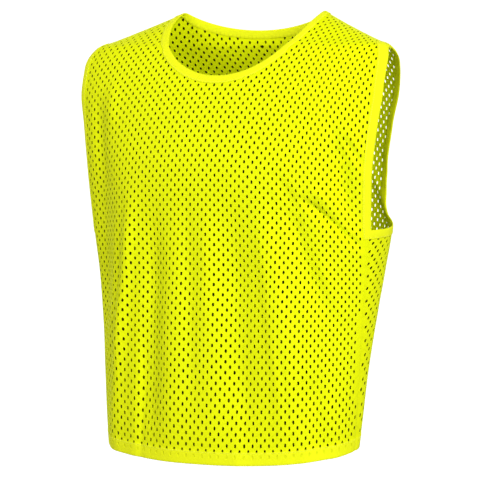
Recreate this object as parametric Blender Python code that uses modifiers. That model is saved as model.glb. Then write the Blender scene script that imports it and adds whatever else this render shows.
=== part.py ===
"""Mesh training bib, hollow as worn: front and back panels, neck binding and two armhole bindings.

The origin is where the shoulders hold it: midway between the two neck corners, on the shoulder line.
The front faces -Y, the wearer's left is +X and the hem hangs towards -Z. Metres throughout.
"""

import math

import bmesh
import bpy
import numpy as np
from mathutils import Vector

# Driving sizes of the garment, in metres
HEM = -0.682
UNDERARM = -0.328
SHOULDER_TIP = -0.055
NECK_HALF_WIDTH = 0.1275
NECK_DROP_FRONT = 0.098
NECK_DROP_BACK = 0.028
NECK_CURVE_FRONT = 1.08
NECK_CURVE_BACK = 1.6
HEM_RISE_SIDE = 0.026
HEM_RISE_BACK = 0.046
HANG_START = -0.345
SEAM_DEGREES_AT_HEM = 87.0

# Cloth sizes
WALL = 0.0015
HEM_WALL = 0.0028
HEM_DEPTH = 0.020
BINDING_WIDTH = 0.0125
BINDING_WALL = 0.0026
SEAM_GAP = 0.0004
SEAM_RADIUS = 0.11
HEM_TOP = HEM + HEM_DEPTH + 0.001
HEM_FOLD_TOP = HEM + HEM_DEPTH - 0.0005
BINDING_GAP = 0.0009

# Grid counts; armhole rows run from the shoulder tip down to the underarm corner
NECK_COLUMNS = 9
SHOULDER_COLUMNS = 8
EDGE_SHARE = 0.03
COLUMN_LEAN = 1.0
TIP_ROWS = 5
LEAST_DROP = 0.0008
TIP_FADE = 0.02
RIDGE_REACH = 0.03
CORNER_STEPS = 40
ARMHOLE_ROWS = {"front": 14, "back": 20}
SEAM_ROWS = {"front": 16, "back": 13}
LOOP_STEPS = 288
BAND_STEPS = 2

# Powers that draw grid lines closer to the neck corner, the shoulder tip and the side edge
NECK_CLOSENESS = 1.4
SHOULDER_CLOSENESS = 1.5
TIP_CLOSENESS = 1.7
EDGE_CLOSENESS = 8
OUTERMOST = 0.999

# Half a panel has its neck and shoulder columns, and one narrow column at its side edge
HALF_COLUMNS = NECK_COLUMNS + SHOULDER_COLUMNS + 1
NECK_SHARE = (1 - EDGE_SHARE) * NECK_COLUMNS / (HALF_COLUMNS - 1)

# Level sections of the worn form, from the neck corners down to the hem. Middle is the Y of the
# widest point; front and back are the depths from there; square is the superellipse exponent.
# Columns: height, half_width, middle, front, back, front_square, back_square
SECTIONS = (
    (0.000, 0.1275, 0.000, 0.024, 0.020, 2.0, 2.0),
    (-0.020, 0.175, -0.015, 0.038, 0.034, 2.0, 2.0),
    (-0.040, 0.226, -0.030, 0.040, 0.050, 2.1, 2.1),
    (-0.055, 0.264, -0.040, 0.044, 0.063, 2.2, 2.2),
    (-0.085, 0.286, -0.044, 0.056, 0.084, 2.3, 2.2),
    (-0.120, 0.291, -0.044, 0.071, 0.104, 2.3, 2.1),
    (-0.170, 0.282, -0.043, 0.086, 0.116, 2.3, 2.0),
    (-0.240, 0.270, -0.042, 0.101, 0.121, 2.3, 1.9),
    (-0.330, 0.261, -0.038, 0.108, 0.118, 2.2, 1.9),
    (-0.390, 0.2515, -0.038, 0.109, 0.106, 2.2, 1.85),
    (-0.460, 0.2425, -0.042, 0.108, 0.092, 2.2, 1.8),
    (-0.560, 0.232, -0.049, 0.104, 0.081, 2.2, 1.8),
    (-0.640, 0.225, -0.054, 0.102, 0.083, 2.2, 1.8),
    (-0.682, 0.220, -0.057, 0.099, 0.088, 2.2, 1.8),
)

# The finished armhole edge. Angles go round from the centre front; 90 degrees is the side.
# Columns: height, front_edge_degrees, back_edge_degrees
ARMHOLE = (
    (-0.0550, 90.0, 90.0),
    (-0.0567, 86.0, 95.0),
    (-0.0620, 81.0, 101.0),
    (-0.0850, 72.0, 114.0),
    (-0.1200, 68.5, 121.0),
    (-0.1700, 69.5, 124.0),
    (-0.2200, 71.0, 124.0),
    (-0.2800, 72.5, 122.0),
    (-0.3050, 73.0, 118.0),
    (-0.3200, 73.5, 105.0),
    (-0.3250, 73.8, 92.0),
    (-0.3280, 74.0, 74.0),
)

# The largest folds. Across is the way round the cloth from the centre line of its panel, to the
# wearer's left; lift is how far a ridge stands proud, or a trough sinks where it is negative.
# Columns: across_top, height_top, across_bottom, height_bottom, width, lift
FRONT_FOLDS = (
    (-0.215, -0.150, -0.235, -0.560, 0.034, -0.010),
    (-0.140, -0.230, -0.188, -0.580, 0.022, 0.008),
    (-0.093, -0.250, -0.100, -0.720, 0.020, -0.008),
    (-0.050, -0.300, -0.052, -0.720, 0.022, 0.004),
    (0.044, -0.240, 0.080, -0.720, 0.030, -0.009),
    (0.125, -0.300, 0.165, -0.720, 0.024, 0.008),
    (0.128, -0.250, 0.205, -0.480, 0.019, -0.007),
    (0.170, -0.520, 0.204, -0.720, 0.022, -0.007),
    (0.215, -0.170, 0.250, -0.320, 0.024, -0.006),
)
BACK_FOLDS = (
    (-0.120, -0.200, -0.190, -0.720, 0.030, -0.009),
    (-0.095, -0.340, -0.120, -0.720, 0.024, 0.007),
    (-0.030, -0.260, -0.052, -0.720, 0.026, -0.006),
    (0.045, -0.300, 0.030, -0.720, 0.028, 0.005),
    (0.085, -0.220, 0.110, -0.720, 0.026, -0.008),
    (0.150, -0.240, 0.165, -0.600, 0.024, 0.005),
    (0.160, -0.180, 0.215, -0.720, 0.030, -0.008),
)
FOLD_FADE = 0.35
FOLD_REST = math.radians(20)

MESH_COLOUR = (0.85, 1.0, 0.01)
BINDING_COLOUR = (0.93, 1.0, 0.05)
CLOTH_ROUGHNESS = 0.75


def curve_through(known_x, known_y, wanted):
    """A smooth curve through a table's rows that never overshoots them."""
    x = np.asarray(known_x, float)
    y = np.asarray(known_y, float)
    step = np.diff(x)
    rise = np.diff(y) / step
    slope = np.zeros(len(x))
    slope[0] = rise[0]
    slope[-1] = rise[-1]
    for i in range(1, len(x) - 1):
        if rise[i - 1] * rise[i] > 0:
            before = 2 * step[i] + step[i - 1]
            after = step[i] + 2 * step[i - 1]
            slope[i] = (before + after) / (before / rise[i - 1] + after / rise[i])
    place = np.clip(wanted, x[0], x[-1])
    i = np.clip(np.searchsorted(x, place) - 1, 0, len(x) - 2)
    t = (place - x[i]) / step[i]
    value = (2 * t**3 - 3 * t**2 + 1) * y[i] + (3 * t**2 - 2 * t**3) * y[i + 1]
    return value + step[i] * ((t**3 - 2 * t**2 + t) * slope[i] + (t**3 - t**2) * slope[i + 1])


def smooth_step(t):
    t = np.clip(t, 0.0, 1.0)
    return t * t * (3 - 2 * t)


def closer_at_start(t):
    """Evenly rising shares from 0 to 1, but starting slowly over the first half."""
    return np.where(t < 0.5, t * t / 0.75, (2 * t - 0.5) / 1.5)


def section(height):
    """Half width, middle, front, back, front square and back square of the level section."""
    rows = np.array(SECTIONS)[::-1]
    return [curve_through(rows[:, 0], rows[:, k], height) for k in range(1, rows.shape[1])]


def hem_rise(angle, height):
    """How far the cloth rides up at the sides and the back on its way down to the hem."""
    forward = np.cos(angle)
    side = HEM_RISE_SIDE * (1 - forward)
    behind = HEM_RISE_SIDE - (HEM_RISE_BACK - HEM_RISE_SIDE) * forward
    share = smooth_step((HANG_START - height) / (HANG_START - HEM))
    return np.where(forward > 0, side, behind) * share


def form(angle, height):
    """The worn form without folds, at an angle round from the centre front."""
    half_width, middle, front, back, front_square, back_square = section(height)
    sideways = np.sin(angle)
    forward = np.cos(angle)
    power = 2 / np.where(forward > 0, front_square, back_square)
    depth = np.where(forward > 0, front, back)
    x = half_width * np.sign(sideways) * np.abs(sideways) ** power
    y = middle - depth * np.sign(forward) * np.abs(forward) ** power
    return np.stack([x, y, height + hem_rise(angle, height)], -1)


def angle_of(point):
    """The angle whose point on the level section lies in a given point's direction."""
    half_width, middle, front, back, front_square, back_square = section(point[..., 2])
    ahead = middle - point[..., 1]
    power = np.where(ahead > 0, front_square, back_square) / 2
    depth = np.where(ahead > 0, front, back)
    sideways = np.sign(point[..., 0]) * (np.abs(point[..., 0]) / half_width) ** power
    forward = np.sign(ahead) * (np.abs(ahead) / depth) ** power
    return np.arctan2(sideways, forward)


def outward(angle, height):
    """Unit normals of the form, pointing out of the garment."""
    turn = 0.004
    lift = 0.0008
    top = np.minimum(height + lift, -1e-5)
    round_it = form(angle + turn, height) - form(angle - turn, height)
    up_it = form(angle, top) - form(angle, height - lift)
    normal = np.cross(round_it, up_it)
    return normal / np.linalg.norm(normal, axis=-1, keepdims=True)


def around_table():
    """Distances round the form from the centre front, on a grid of heights and angles."""
    heights = np.linspace(HEM, 0.0, 90)
    angles = np.linspace(0.0, math.pi, 181)
    points = form(angles[None, :], heights[:, None])
    steps = np.linalg.norm(np.diff(points, axis=1), axis=-1)
    lengths = np.concatenate([np.zeros((len(heights), 1)), np.cumsum(steps, axis=1)], axis=1)
    return heights, angles, lengths


HEIGHTS, ANGLES, LENGTHS = around_table()


def across(angle, height, panel):
    """The way round the cloth from the panel's centre line, to the wearer's left."""
    angle, height = np.broadcast_arrays(angle, height)
    row = np.interp(height, HEIGHTS, np.arange(len(HEIGHTS)))
    column = np.interp(np.abs(angle), ANGLES, np.arange(len(ANGLES)))
    r = np.minimum(row.astype(int), len(HEIGHTS) - 2)
    c = np.minimum(column.astype(int), len(ANGLES) - 2)
    dr = row - r
    dc = column - c
    low = LENGTHS[r, c] * (1 - dc) + LENGTHS[r, c + 1] * dc
    high = LENGTHS[r + 1, c] * (1 - dc) + LENGTHS[r + 1, c + 1] * dc
    length = low * (1 - dr) + high * dr
    if panel == "back":
        whole = LENGTHS[r, -1] * (1 - dr) + LENGTHS[r + 1, -1] * dr
        length = whole - length
    return np.sign(angle) * length


def seam_line(height):
    """The angle of the line between front and back: the armhole's front edge, then the side seam."""
    rows = np.array(ARMHOLE)[::-1]
    edge = curve_through(rows[:, 0], rows[:, 1], height)
    down = np.clip((UNDERARM - height) / (UNDERARM - HEM), 0, 1)
    return np.radians(edge + (SEAM_DEGREES_AT_HEM - edge) * down)


def fold_lift(angle, height):
    """How far the folds move the cloth out of the plain form; they die away at the side seams."""
    angle, height = np.broadcast_arrays(angle, height)
    beside_seam = np.abs(angle) - seam_line(height)
    front = beside_seam < 0
    total = np.zeros(angle.shape)
    for panel, folds in (("front", FRONT_FOLDS), ("back", BACK_FOLDS)):
        place = across(angle, height, panel)
        lift = np.zeros(angle.shape)
        for across_top, height_top, across_bottom, height_bottom, width, depth in folds:
            along = (height_top - height) / (height_top - height_bottom)
            line = across_top + (across_bottom - across_top) * along
            ends = smooth_step(along / FOLD_FADE) * smooth_step((1 - along) / FOLD_FADE)
            lift += depth * ends * np.exp(-(((place - line) / width) ** 2))
        total = np.where(front == (panel == "front"), lift, total)
    return total * smooth_step(np.abs(beside_seam) / FOLD_REST)


def cloth(angle, height):
    """The middle of the cloth wall: the form, moved out along its normals by the folds."""
    return form(angle, height) + outward(angle, height) * fold_lift(angle, height)[..., None]


def neck_edge(turn):
    """Angle and height of the finished neck edge; turn runs round from the centre front."""
    forward = np.cos(turn)
    front = forward > 0
    drop = np.where(front, NECK_DROP_FRONT, NECK_DROP_BACK)
    shape = np.where(front, NECK_CURVE_FRONT, NECK_CURVE_BACK)
    height = -drop * np.abs(forward) ** shape
    half_width, _, _, _, front_square, back_square = section(height)
    square = np.where(front, front_square, back_square)
    reach = np.clip(NECK_HALF_WIDTH * np.abs(np.sin(turn)) / half_width, 0, 1)
    angle = np.arcsin(reach ** (square / 2))
    angle = np.where(front, angle, math.pi - angle)
    return np.where(np.sin(turn) < 0, -angle, angle), height


def armhole_edge():
    """Angle and height of the left armhole's finished edge: down its front, then up its back."""
    rows = np.array(ARMHOLE)[::-1]
    down = np.linspace(0.0, 1.0, 200) ** TIP_CLOSENESS
    height = SHOULDER_TIP + (UNDERARM - SHOULDER_TIP) * down
    front = np.radians(curve_through(rows[:, 0], rows[:, 1], height))
    back = np.radians(curve_through(rows[:, 0], rows[:, 2], height))
    angle = np.concatenate([front, back[::-1][1:-1]])
    return angle, np.concatenate([height, height[::-1][1:-1]])


def evenly(angle, height, count, keep):
    """A closed loop's points, set evenly along it, with the one at index keep left in place."""
    angle = np.roll(angle, -keep)
    height = np.roll(height, -keep)
    angle = np.append(angle, angle[0])
    height = np.append(height, height[0])
    steps = np.linalg.norm(np.diff(form(angle, height), axis=0), axis=1)
    run = np.append(0.0, np.cumsum(steps))
    wanted = np.linspace(0.0, run[-1], count + 1)[:-1]
    return np.interp(wanted, run, angle), np.interp(wanted, run, height)


def widened(angle, height, width):
    """The same closed loop moved over the form by a width, away from its opening."""
    points = form(angle, height)
    normals = outward(angle, height)
    ahead = np.roll(points, -1, axis=0) - points
    ahead /= np.linalg.norm(ahead, axis=1, keepdims=True)
    behind = np.roll(ahead, 1, axis=0)
    side_ahead = np.cross(ahead, normals)
    side_behind = np.cross(behind, normals)
    side_ahead /= np.linalg.norm(side_ahead, axis=1, keepdims=True)
    side_behind /= np.linalg.norm(side_behind, axis=1, keepdims=True)
    mitre = side_ahead + side_behind
    mitre /= np.linalg.norm(mitre, axis=1, keepdims=True)
    reach = width / np.einsum("ij,ij->i", mitre, side_ahead)
    centre = points.mean(axis=0)
    away = np.sign(np.einsum("ij,ij->i", mitre, points - centre).mean())
    moved = points + away * mitre * reach[:, None]
    return angle_of(moved), moved[:, 2]


def neck_loop(width):
    """The neck edge moved out by a width, from the centre front round by the wearer's left."""
    turn = np.linspace(0.0, 2 * math.pi, 4 * LOOP_STEPS + 1)[:-1]
    angle, height = evenly(*neck_edge(turn), LOOP_STEPS, 0)
    return widened(angle, height, width)


def armhole_loop(width):
    """The left armhole's edge moved out by a width: from its corner up the back, down the front."""
    angle, height = armhole_edge()
    angle, height = evenly(angle, height, LOOP_STEPS, int(np.argmin(height)))
    return widened(angle, height, width)


def on_loop(loop, index):
    """Angle and height at fractional indices of a closed loop."""
    angle, height = (np.append(values, values[0]) for values in loop)
    steps = np.arange(LOOP_STEPS + 1)
    return np.interp(index, steps, angle), np.interp(index, steps, height)


def angle_at_x(x, height, panel):
    """The angle at which the form has a given X, on one panel."""
    half_width, _, _, _, front_square, back_square = section(height)
    square = front_square if panel == "front" else back_square
    angle = np.arcsin(np.clip(x / half_width, 0, 1) ** (square / 2))
    return angle if panel == "front" else math.pi - angle


class PanelCut:
    """The edges of half a panel, and the grid that fills them."""

    def __init__(self, panel):
        self.panel = panel
        width = BINDING_WIDTH + BINDING_GAP
        self.neck = neck_loop(width)
        self.arm = armhole_loop(width)
        half = LOOP_STEPS // 2
        neck_angle = np.abs(self.neck[0][: half + 1])
        self.neck_ridge = float(np.interp(math.pi / 2, neck_angle, np.arange(half + 1)))
        on_front = (self.arm[0] < math.pi / 2) & (np.arange(LOOP_STEPS) > CORNER_STEPS)
        past_ridge = int(np.argmax(on_front))
        ridge_angles = self.arm[0][[past_ridge, past_ridge - 1]]
        self.arm_tip = past_ridge - float(np.interp(math.pi / 2, ridge_angles, [0, 1]))
        self.tip_height = float(on_loop(self.arm, self.arm_tip)[1])
        self.corner_angle = float(self.arm[0][0])
        self.corner_height = float(self.arm[1][0])
        self.edge_indices = self.armhole_indices()
        self.side_angles, self.side_heights = self.side_curve()

    def armhole_indices(self):
        """Where the grid's rows meet the armhole, from the tip to the corner, closer at the tip."""
        rows = ARMHOLE_ROWS[self.panel]
        share = closer_at_start(np.arange(rows + 1) / rows)
        if self.panel == "front":
            return self.arm_tip + (LOOP_STEPS - self.arm_tip) * share
        return self.arm_tip * (1 - share)

    def neck_indices(self):
        """Where the grid's columns meet the neck, from the centre to the shoulder line."""
        share = 1 - (1 - np.arange(NECK_COLUMNS + 1) / NECK_COLUMNS) ** NECK_CLOSENESS
        if self.panel == "front":
            return self.neck_ridge * share
        return LOOP_STEPS / 2 - (LOOP_STEPS / 2 - self.neck_ridge) * share

    def side_curve(self):
        """The side edge, from the shoulder tip to the hem, as falling heights and their angles."""
        steps = np.arange(0, 201) / 200
        if self.panel == "front":
            index = self.arm_tip + (LOOP_STEPS - self.arm_tip) * steps
        else:
            index = self.arm_tip * (1 - steps)
        angle, height = on_loop(self.arm, index)
        down = np.linspace(0, 1, 60)[1:]
        seam_height = self.corner_height + (HEM - self.corner_height) * down
        seam = self.corner_angle + (math.radians(SEAM_DEGREES_AT_HEM) - self.corner_angle) * down
        angle = np.append(angle, seam)
        height = np.append(np.minimum.accumulate(height), seam_height)
        return (angle - self.seam_turn(height))[::-1], height[::-1]

    def seam_turn(self, height):
        """Half the seam gap, as an angle, below the shoulder."""
        turn = SEAM_GAP / 2 / SEAM_RADIUS * (1 if self.panel == "front" else -1)
        return turn * smooth_step((self.tip_height - TIP_FADE - height) / TIP_FADE)

    def side_angle(self, height):
        return np.interp(height, self.side_heights, self.side_angles)

    def top_edge(self, half):
        """X and height of the top edge at a share of the half width: the neck, then the shoulder."""
        neck_index = self.neck_indices()
        angle, height = on_loop(self.neck, neck_index)
        neck_points = form(np.abs(angle), height)
        neck_share = np.linspace(0, NECK_SHARE, len(neck_index))
        corner_x = neck_points[-1, 0]
        tip_x = float(form(np.array(math.pi / 2), np.array(self.tip_height))[0])
        along = np.clip((half - NECK_SHARE) / (1 - NECK_SHARE), 0, 1)
        shoulder_x = corner_x + (tip_x - corner_x) * (1 - (1 - along) ** SHOULDER_CLOSENESS)
        heights = np.linspace(0.0, SHOULDER_TIP, 200)
        shoulder_z = np.interp(shoulder_x, section(heights)[0], heights)
        on_neck = half < NECK_SHARE
        x = np.where(on_neck, np.interp(half, neck_share, neck_points[:, 0]), shoulder_x)
        z = np.where(on_neck, np.interp(half, neck_share, height), shoulder_z)
        return x, z

    def row_shares(self, row):
        """How far down each row is, from its column's top to the top of the hem."""
        arm_rows = ARMHOLE_ROWS[self.panel]
        _, arm_heights = on_loop(self.arm, self.edge_indices)
        least_drop = LEAST_DROP * np.arange(arm_rows + 1)
        arm_heights = np.minimum.accumulate(arm_heights + least_drop) - least_drop
        seam_heights = np.linspace(self.corner_height, HEM_TOP, SEAM_ROWS[self.panel] + 1)[1:]
        heights = np.append(arm_heights, seam_heights)
        shares = (self.tip_height - heights) / (self.tip_height - HEM_TOP)
        return shares[np.minimum(row, len(shares) - 1)]

    def place(self, across_share, row):
        """Angle and height of a grid point, from its share of the width and its row."""
        half = np.abs(across_share)
        x_top, z_top = self.top_edge(half)
        height = z_top + (HEM_TOP - z_top) * self.row_shares(row)
        last = ARMHOLE_ROWS[self.panel] + SEAM_ROWS[self.panel]
        hem_heights = np.array([HEM_FOLD_TOP, HEM + HEM_DEPTH / 2, HEM])
        height = np.where(row > last, hem_heights[np.clip(row - last - 1, 0, 2)], height)

        start = np.minimum(z_top, self.tip_height)
        x_start = x_top + COLUMN_LEAN * (z_top - start)
        from_centre = self.turn(angle_at_x(x_start, start, self.panel))
        share = from_centre / self.turn(self.side_angle(start))
        share = np.where(half > OUTERMOST, 1.0, share)
        edge = self.turn(self.side_angle(height))
        edge_row = np.minimum(row, ARMHOLE_ROWS[self.panel])
        edge_angle, edge_height = on_loop(self.arm, self.edge_indices[edge_row])
        by_row = half**EDGE_CLOSENESS * np.clip(1 - row / TIP_ROWS, 0, 1)
        if self.panel == "back":
            turned = smooth_step((row - TIP_ROWS) / TIP_ROWS) * (row <= ARMHOLE_ROWS["back"])
            by_row = np.maximum(by_row, turned)
        edge = edge * (1 - by_row) + self.turn(edge_angle) * by_row
        below = self.turn(share * edge)
        above = angle_at_x(x_top + COLUMN_LEAN * (z_top - height), height, self.panel)
        angle = np.where(height >= self.tip_height - 1e-9, above, below)
        on_edge = (half > OUTERMOST) & (row <= ARMHOLE_ROWS[self.panel])
        angle = np.where(on_edge, edge_angle - self.seam_turn(edge_height), angle)
        height = np.where(on_edge, edge_height, height)
        return self.clear_of_ridge(angle, height) * np.sign(across_share + 1e-12), height

    def turn(self, angle):
        """Angles from the panel's own centre line, and back again."""
        return angle if self.panel == "front" else math.pi - angle

    def clear_of_ridge(self, angle, height):
        """Keeps the panel's shoulder edge half a seam gap from the shoulder line."""
        half_width, middle, _, _, _, _ = section(height)
        side = -1 if self.panel == "front" else 1
        beside = np.stack([half_width, middle + side * SEAM_GAP / 2, height], -1)
        limit = angle_of(beside)
        near_top = height > self.tip_height - RIDGE_REACH
        if self.panel == "front":
            return np.where(near_top, np.minimum(angle, limit), angle)
        return np.where(near_top, np.maximum(angle, limit), angle)


def material(name, colour):
    made = bpy.data.materials.new(name)
    made.use_nodes = True
    shader = made.node_tree.nodes["Principled BSDF"]
    shader.inputs["Base Color"].default_value = (*colour, 1.0)
    shader.inputs["Roughness"].default_value = CLOTH_ROUGHNESS
    made.diffuse_color = (*colour, 1.0)
    return made


def sheet(name, columns, rows, where, closed, colour, wall, collection):
    """A grid mapped onto the garment by a function and given its wall by Solidify."""
    mesh = bpy.data.meshes.new(name)
    grid = bmesh.new()
    bmesh.ops.create_grid(grid, x_segments=columns, y_segments=rows, size=1.0)
    grid.verts.ensure_lookup_table()
    flat = np.array([vert.co for vert in grid.verts])
    column = np.rint((flat[:, 0] + 1) / 2 * columns).astype(int)
    row = np.rint((1 - flat[:, 1]) / 2 * rows).astype(int)
    angle, height = where(column, row)
    points = cloth(angle, height)
    for vert, point in zip(grid.verts, points):
        vert.co = Vector(point)
    if closed:
        bmesh.ops.remove_doubles(grid, verts=grid.verts, dist=0.0001)
    grid.to_mesh(mesh)
    grid.free()
    mesh.shade_smooth()
    item = bpy.data.objects.new(name, mesh)
    item.data.materials.append(material(name + "_cloth", colour))
    collection.objects.link(item)
    solid = item.modifiers.new("wall", "SOLIDIFY")
    solid.thickness = wall
    solid.offset = 0.0
    return item, row


def panel(side, name, collection):
    """A front or back panel, its hem thicker where the cloth is turned up."""
    cut = PanelCut(side)
    rows = ARMHOLE_ROWS[side] + SEAM_ROWS[side] + 3

    def where(column, row):
        steps = column - HALF_COLUMNS
        share = steps / (HALF_COLUMNS - 1) * (1 - EDGE_SHARE)
        share = np.where(np.abs(steps) == HALF_COLUMNS, np.sign(steps), share)
        return cut.place(share, row)

    columns = 2 * HALF_COLUMNS
    item, row = sheet(name, columns, rows, where, False, MESH_COLOUR, HEM_WALL, collection)
    group = item.vertex_groups.new(name="wall_share")
    for index, level in enumerate(row):
        share = 1.0 if level > rows - 3 else WALL / HEM_WALL
        group.add([index], share, "REPLACE")
    item.modifiers["wall"].vertex_group = group.name
    return cut


def binding(name, inner, outer, indices, sign, collection):
    """A strip along an opening, between its finished edge and the edge of the panels."""

    def where(column, row):
        share = row / BAND_STEPS
        inner_angle, inner_height = on_loop(inner, indices[column])
        outer_angle, outer_height = on_loop(outer, indices[column])
        turn = (outer_angle - inner_angle + math.pi) % (2 * math.pi) - math.pi
        angle = inner_angle + turn * share
        return sign * angle, inner_height + (outer_height - inner_height) * share

    steps = len(indices) - 1
    sheet(name, steps, BAND_STEPS, where, True, BINDING_COLOUR, BINDING_WALL, collection)


def build():
    for item in list(bpy.data.objects):
        bpy.data.objects.remove(item, do_unlink=True)
    collection = bpy.data.collections.new("mesh_training_bib")
    bpy.context.scene.collection.children.link(collection)

    front = panel("front", "front_panel", collection)
    back = panel("back", "back_panel", collection)

    left_half = np.concatenate([front.neck_indices(), back.neck_indices()[::-1][1:]])
    right_half = LOOP_STEPS - left_half[::-1]
    neck_indices = np.concatenate([left_half, right_half[1:]])
    inner = neck_loop(0.0)
    outer = neck_loop(BINDING_WIDTH)
    binding("neck_binding", inner, outer, neck_indices, 1, collection)

    up_back = back.edge_indices[::-1]
    down_front = front.edge_indices[1:]
    arm_indices = np.concatenate([up_back, down_front])
    inner = armhole_loop(0.0)
    outer = armhole_loop(BINDING_WIDTH)
    binding("armhole_binding_left", inner, outer, arm_indices, 1, collection)
    binding("armhole_binding_right", inner, outer, arm_indices, -1, collection)


build()
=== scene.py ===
"""Dressed scene of the mesh training bib: perforated knit panels, folded bindings, seams, stitches.

The garment's sizes, sections, edges and large folds are those of its CAD solids. Each panel is laid
out flat, cut to its outline, given the knit's holes, and put back on the worn form.
"""

import math

import bpy
import numpy as np
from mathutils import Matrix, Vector
from mathutils.geometry import delaunay_2d_cdt


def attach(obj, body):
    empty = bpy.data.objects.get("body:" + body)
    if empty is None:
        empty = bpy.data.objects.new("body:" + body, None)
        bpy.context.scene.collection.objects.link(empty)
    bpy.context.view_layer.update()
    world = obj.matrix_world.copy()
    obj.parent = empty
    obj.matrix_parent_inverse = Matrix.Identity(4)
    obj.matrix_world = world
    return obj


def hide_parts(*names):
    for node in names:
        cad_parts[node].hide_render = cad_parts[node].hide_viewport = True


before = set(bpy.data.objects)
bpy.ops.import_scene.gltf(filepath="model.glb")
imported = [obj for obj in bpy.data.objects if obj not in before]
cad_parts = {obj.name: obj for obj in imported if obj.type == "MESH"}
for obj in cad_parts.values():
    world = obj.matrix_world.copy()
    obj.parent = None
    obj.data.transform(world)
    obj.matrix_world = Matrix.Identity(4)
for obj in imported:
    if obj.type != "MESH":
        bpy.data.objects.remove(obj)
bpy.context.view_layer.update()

# Sizes of the garment, in metres
HEM = -0.682
UNDERARM = -0.328
SHOULDER_TIP = -0.055
NECK_HALF_WIDTH = 0.1275
NECK_DROP_FRONT = 0.098
NECK_DROP_BACK = 0.028
NECK_CURVE_FRONT = 1.08
NECK_CURVE_BACK = 1.6
HEM_RISE_SIDE = 0.026
HEM_RISE_BACK = 0.046
HANG_START = -0.345
SEAM_DEGREES_AT_HEM = 87.0
BINDING_WIDTH = 0.0125
HEM_DEPTH = 0.020
FORM_TOP = -1e-5

# How finely the edges of the openings are stepped, closer together at the shoulder tip
LOOP_STEPS = 288
TIP_CLOSENESS = 1.7
CORNER_STEPS = 40

# Columns: height, half_width, middle, front, back, front_square, back_square
SECTIONS = (
    (0.000, 0.1275, 0.000, 0.024, 0.020, 2.0, 2.0),
    (-0.020, 0.175, -0.015, 0.038, 0.034, 2.0, 2.0),
    (-0.040, 0.226, -0.030, 0.040, 0.050, 2.1, 2.1),
    (-0.055, 0.264, -0.040, 0.044, 0.063, 2.2, 2.2),
    (-0.085, 0.286, -0.044, 0.056, 0.084, 2.3, 2.2),
    (-0.120, 0.291, -0.044, 0.071, 0.104, 2.3, 2.1),
    (-0.170, 0.282, -0.043, 0.086, 0.116, 2.3, 2.0),
    (-0.240, 0.270, -0.042, 0.101, 0.121, 2.3, 1.9),
    (-0.330, 0.261, -0.038, 0.108, 0.118, 2.2, 1.9),
    (-0.390, 0.2515, -0.038, 0.109, 0.106, 2.2, 1.85),
    (-0.460, 0.2425, -0.042, 0.108, 0.092, 2.2, 1.8),
    (-0.560, 0.232, -0.049, 0.104, 0.081, 2.2, 1.8),
    (-0.640, 0.225, -0.054, 0.102, 0.083, 2.2, 1.8),
    (-0.682, 0.220, -0.057, 0.099, 0.088, 2.2, 1.8),
)

# Columns: height, front_edge_degrees, back_edge_degrees
ARMHOLE = (
    (-0.0550, 90.0, 90.0),
    (-0.0567, 86.0, 95.0),
    (-0.0620, 81.0, 101.0),
    (-0.0850, 72.0, 114.0),
    (-0.1200, 68.5, 121.0),
    (-0.1700, 69.5, 124.0),
    (-0.2200, 71.0, 124.0),
    (-0.2800, 72.5, 122.0),
    (-0.3050, 73.0, 118.0),
    (-0.3200, 73.5, 105.0),
    (-0.3250, 73.8, 92.0),
    (-0.3280, 74.0, 74.0),
)

# Columns: across_top, height_top, across_bottom, height_bottom, width, lift
LARGE_FOLDS = {
    "front": (
        (-0.215, -0.150, -0.235, -0.560, 0.034, -0.010),
        (-0.140, -0.230, -0.188, -0.580, 0.022, 0.008),
        (-0.093, -0.250, -0.100, -0.720, 0.020, -0.008),
        (-0.050, -0.300, -0.052, -0.720, 0.022, 0.004),
        (0.044, -0.240, 0.080, -0.720, 0.030, -0.009),
        (0.125, -0.300, 0.165, -0.720, 0.024, 0.008),
        (0.128, -0.250, 0.205, -0.480, 0.019, -0.007),
        (0.170, -0.520, 0.204, -0.720, 0.022, -0.007),
        (0.215, -0.170, 0.250, -0.320, 0.024, -0.006),
    ),
    "back": (
        (-0.120, -0.200, -0.190, -0.720, 0.030, -0.009),
        (-0.095, -0.340, -0.120, -0.720, 0.024, 0.007),
        (-0.030, -0.260, -0.052, -0.720, 0.026, -0.006),
        (0.045, -0.300, 0.030, -0.720, 0.028, 0.005),
        (0.085, -0.220, 0.110, -0.720, 0.026, -0.008),
        (0.150, -0.240, 0.165, -0.600, 0.024, 0.005),
        (0.160, -0.180, 0.215, -0.720, 0.030, -0.008),
    ),
}

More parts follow.
